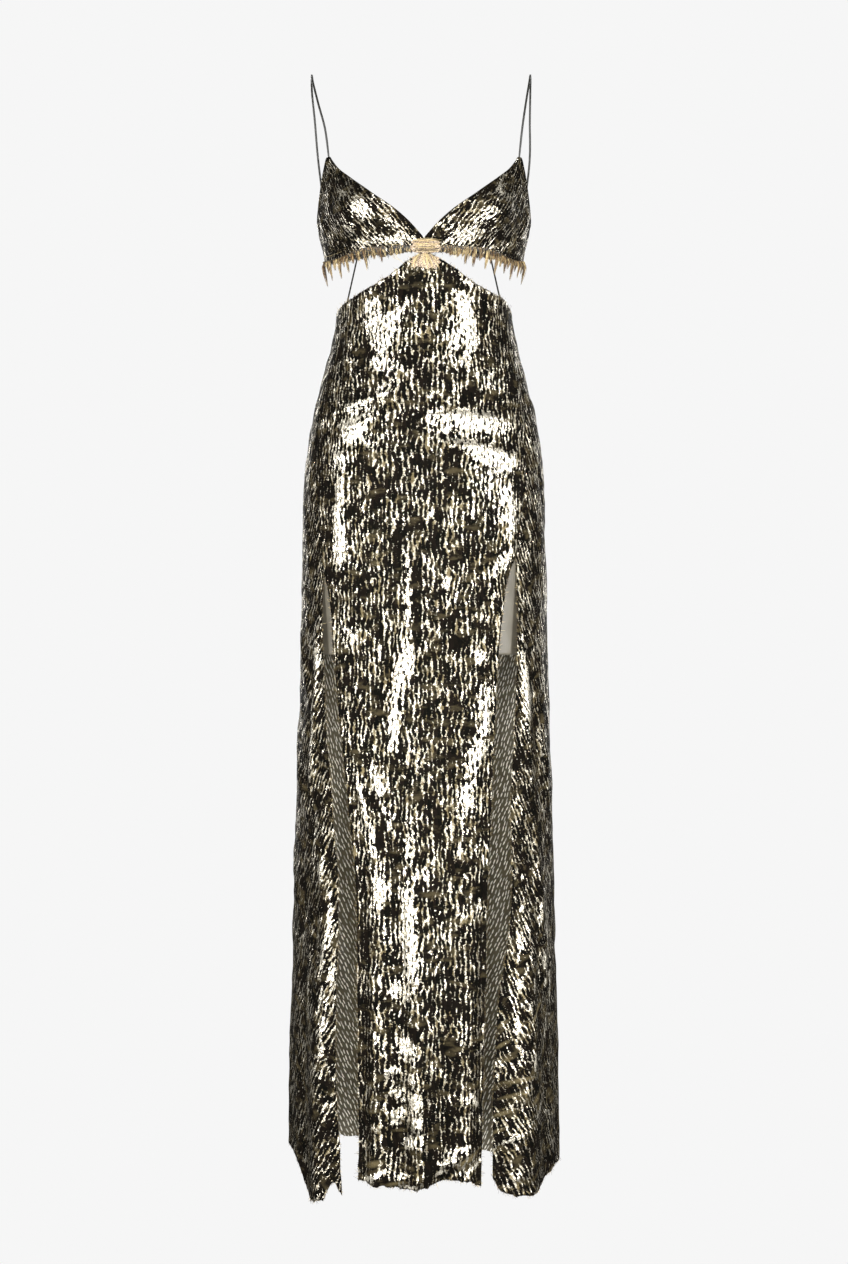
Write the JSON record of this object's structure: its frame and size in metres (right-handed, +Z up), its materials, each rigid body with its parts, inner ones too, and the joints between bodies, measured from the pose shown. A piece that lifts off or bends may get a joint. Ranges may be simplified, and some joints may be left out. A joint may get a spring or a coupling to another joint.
{
  "type": "evening gown",
  "caption": "Floor-length evening gown, filled out as worn: triangular cups on thin straps, open sides and back laced by cords, and a slim skirt slit at both sides of a hanging front panel.",
  "frame": {"origin": "where the wearer's shoulders hold the gown: midway between the undersides of the two shoulder straps at their tops", "axes": "+Z up, the front faces -Y, +X towards the wearer's left side, which is on the right as seen from the front"},
  "size_m": [0.3769, 0.3383, 1.5423],
  "materials": {
    "foil_cloth": "pale gold foil with long dark flecks, khaki wrong side",
    "lining_satin": "taupe satin",
    "rouleau": "dark olive rouleau cord, soft sheen",
    "gold_thread": "gold metallic thread with dark cut ends",
    "zip_tape": "woven zip tape",
    "zip_metal": "lacquered zinc, satin"
  },
  "bodies": {
    "gown": {"cup_left": "foil_cloth", "cup_right": "foil_cloth", "front_join": "gold_thread", "fringe_left": "gold_thread", "fringe_right": "gold_thread", "strap_left": "rouleau", "strap_right": "rouleau", "back_cord": "rouleau", "waist_cord_left": "rouleau", "waist_cord_right": "rouleau", "skirt_front": "foil_cloth", "skirt_side_back_left": "foil_cloth", "skirt_side_back_right": "foil_cloth", "lining_front": "lining_satin", "lining_back": "lining_satin", "zip_tape": "zip_tape", "zip_slider": "zip_metal"},
    "zip_pull": {"zip_pull": "zip_metal"}
  },
  "joints": [
    {"name": "zip_pull_hinge", "type": "hinge", "parent": "gown", "child": "zip_pull", "pos_m": [0, 0.09739, -0.40154], "axis": [1, 0, 0], "range_deg": [0, 150]}
  ]
}
